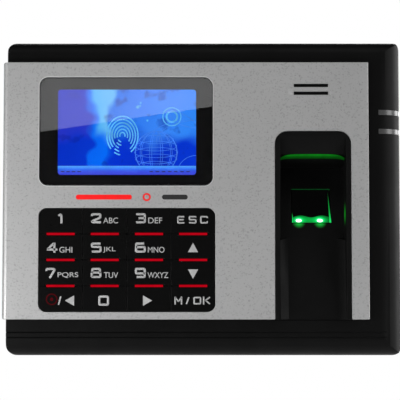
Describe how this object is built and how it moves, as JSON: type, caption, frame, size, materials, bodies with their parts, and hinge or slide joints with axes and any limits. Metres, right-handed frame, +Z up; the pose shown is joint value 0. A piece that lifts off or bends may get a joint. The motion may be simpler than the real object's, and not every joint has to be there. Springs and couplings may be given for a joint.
{
  "type": "fingerprint scanner terminal",
  "caption": "Wall-mounted fingerprint time clock with a colour display, a number keypad, a recessed finger well with an optical sensor, and a wall plate.",
  "frame": {"origin": "middle of the four wall screw holes, on the plane of the wall", "axes": "+X to the right as seen from the front, +Y into the wall, +Z up"},
  "size_m": [0.1888, 0.0383, 0.1494],
  "materials": {
    "galvanised_plate": "galvanised",
    "black_shell": "fine moulded grain",
    "silver_panel": "sandy silver paint",
    "smoked_lens": "polished, smoked",
    "black_foam": "foam",
    "lcd_glass": "lit display",
    "black_plastic": "moulded",
    "plated_steel": "nickel plated",
    "flex_film": "polyimide",
    "key_black": "gloss",
    "red_bar": "translucent red",
    "dark_silicone": "silicone",
    "green_board": "solder mask",
    "well_black": "satin",
    "sensor_glass": "polished",
    "sensor_black": "moulded",
    "green_led": "lit",
    "speaker_frame": "black",
    "speaker_paper": "treated",
    "red_wire": "insulation",
    "smoke_light_pipe": "frosted",
    "chip_black": "moulded",
    "green_terminal": "moulded",
    "white_plastic": "moulded",
    "black_steel": "black zinc"
  },
  "bodies": {
    "terminal": {"wall_plate": "galvanised_plate", "rear_cover": "black_shell", "front_housing": "black_shell", "front_panel": "silver_panel", "display_lens": "smoked_lens", "display_gasket": "black_foam", "display_panel": "lcd_glass", "display_frame": "black_plastic", "display_bracket": "plated_steel", "display_ribbon": "flex_film", "keypad_light_guide": "red_bar", "keypad_mat": "dark_silicone", "key_domes": "plated_steel", "keypad_board": "green_board", "keypad_ribbon": "flex_film", "finger_well": "well_black", "sensor_prism": "sensor_glass", "sensor_housing": "sensor_black", "sensor_lens": "sensor_glass", "sensor_board": "green_board", "sensor_leds": "green_led", "sensor_lead": "flex_film", "speaker_basket": "speaker_frame", "speaker_cone": "speaker_paper", "speaker_magnet": "plated_steel", "speaker_lead": "red_wire", "status_light_upper": "smoke_light_pipe", "status_light_lower": "smoke_light_pipe", "indicator_board": "green_board", "main_board": "green_board", "board_components": "chip_black", "ethernet_jack": "plated_steel", "power_jack": "chip_black", "terminal_block": "green_terminal", "usb_socket": "plated_steel", "coin_cell": "plated_steel", "coin_cell_holder": "black_plastic", "tamper_switch": "black_plastic", "reset_switch": "black_plastic", "board_screws": "plated_steel", "housing_screws": "black_steel", "locking_screw": "black_steel"},
    "key_1": {"key_1": "key_black"},
    "key_2": {"key_2": "key_black"},
    "key_3": {"key_3": "key_black"},
    "key_escape": {"key_escape": "key_black"},
    "key_4": {"key_4": "key_black"},
    "key_5": {"key_5": "key_black"},
    "key_6": {"key_6": "key_black"},
    "key_up": {"key_up": "key_black"},
    "key_7": {"key_7": "key_black"},
    "key_8": {"key_8": "key_black"},
    "key_9": {"key_9": "key_black"},
    "key_down": {"key_down": "key_black"},
    "key_power_left": {"key_power_left": "key_black"},
    "key_0": {"key_0": "key_black"},
    "key_right": {"key_right": "key_black"},
    "key_menu_ok": {"key_menu_ok": "key_black"},
    "tamper_plunger": {"tamper_plunger": "white_plastic"},
    "reset_button": {"reset_button": "white_plastic"}
  },
  "joints": [
    {"name": "key_1_press", "type": "slide", "parent": "terminal", "child": "key_1", "axis": [0, 1, 0], "range_m": [0, 0.0008], "stiffness_N_per_m": 900, "springref_m": -0.0006},
    {"name": "key_2_press", "type": "slide", "parent": "terminal", "child": "key_2", "axis": [0, 1, 0], "range_m": [0, 0.0008], "stiffness_N_per_m": 900, "springref_m": -0.0006},
    {"name": "key_3_press", "type": "slide", "parent": "terminal", "child": "key_3", "axis": [0, 1, 0], "range_m": [0, 0.0008], "stiffness_N_per_m": 900, "springref_m": -0.0006},
    {"name": "key_escape_press", "type": "slide", "parent": "terminal", "child": "key_escape", "axis": [0, 1, 0], "range_m": [0, 0.0008], "stiffness_N_per_m": 900, "springref_m": -0.0006},
    {"name": "key_4_press", "type": "slide", "parent": "terminal", "child": "key_4", "axis": [0, 1, 0], "range_m": [0, 0.0008], "stiffness_N_per_m": 900, "springref_m": -0.0006},
    {"name": "key_5_press", "type": "slide", "parent": "terminal", "child": "key_5", "axis": [0, 1, 0], "range_m": [0, 0.0008], "stiffness_N_per_m": 900, "springref_m": -0.0006},
    {"name": "key_6_press", "type": "slide", "parent": "terminal", "child": "key_6", "axis": [0, 1, 0], "range_m": [0, 0.0008], "stiffness_N_per_m": 900, "springref_m": -0.0006},
    {"name": "key_up_press", "type": "slide", "parent": "terminal", "child": "key_up", "axis": [0, 1, 0], "range_m": [0, 0.0008], "stiffness_N_per_m": 900, "springref_m": -0.0006},
    {"name": "key_7_press", "type": "slide", "parent": "terminal", "child": "key_7", "axis": [0, 1, 0], "range_m": [0, 0.0008], "stiffness_N_per_m": 900, "springref_m": -0.0006},
    {"name": "key_8_press", "type": "slide", "parent": "terminal", "child": "key_8", "axis": [0, 1, 0], "range_m": [0, 0.0008], "stiffness_N_per_m": 900, "springref_m": -0.0006},
    {"name": "key_9_press", "type": "slide", "parent": "terminal", "child": "key_9", "axis": [0, 1, 0], "range_m": [0, 0.0008], "stiffness_N_per_m": 900, "springref_m": -0.0006},
    {"name": "key_down_press", "type": "slide", "parent": "terminal", "child": "key_down", "axis": [0, 1, 0], "range_m": [0, 0.0008], "stiffness_N_per_m": 900, "springref_m": -0.0006},
    {"name": "key_power_left_press", "type": "slide", "parent": "terminal", "child": "key_power_left", "axis": [0, 1, 0], "range_m": [0, 0.0008], "stiffness_N_per_m": 900, "springref_m": -0.0006},
    {"name": "key_0_press", "type": "slide", "parent": "terminal", "child": "key_0", "axis": [0, 1, 0], "range_m": [0, 0.0008], "stiffness_N_per_m": 900, "springref_m": -0.0006},
    {"name": "key_right_press", "type": "slide", "parent": "terminal", "child": "key_right", "axis": [0, 1, 0], "range_m": [0, 0.0008], "stiffness_N_per_m": 900, "springref_m": -0.0006},
    {"name": "key_menu_ok_press", "type": "slide", "parent": "terminal", "child": "key_menu_ok", "axis": [0, 1, 0], "range_m": [0, 0.0008], "stiffness_N_per_m": 900, "springref_m": -0.0006},
    {"name": "tamper_plunger_press", "type": "slide", "parent": "terminal", "child": "tamper_plunger", "axis": [0, -1, 0], "range_m": [0, 0.0005], "stiffness_N_per_m": 400, "springref_m": -0.0008},
    {"name": "reset_button_press", "type": "slide", "parent": "terminal", "child": "reset_button", "axis": [0, -1, 0], "range_m": [0, 0.00025], "stiffness_N_per_m": 2000, "springref_m": -0.0002}
  ]
}
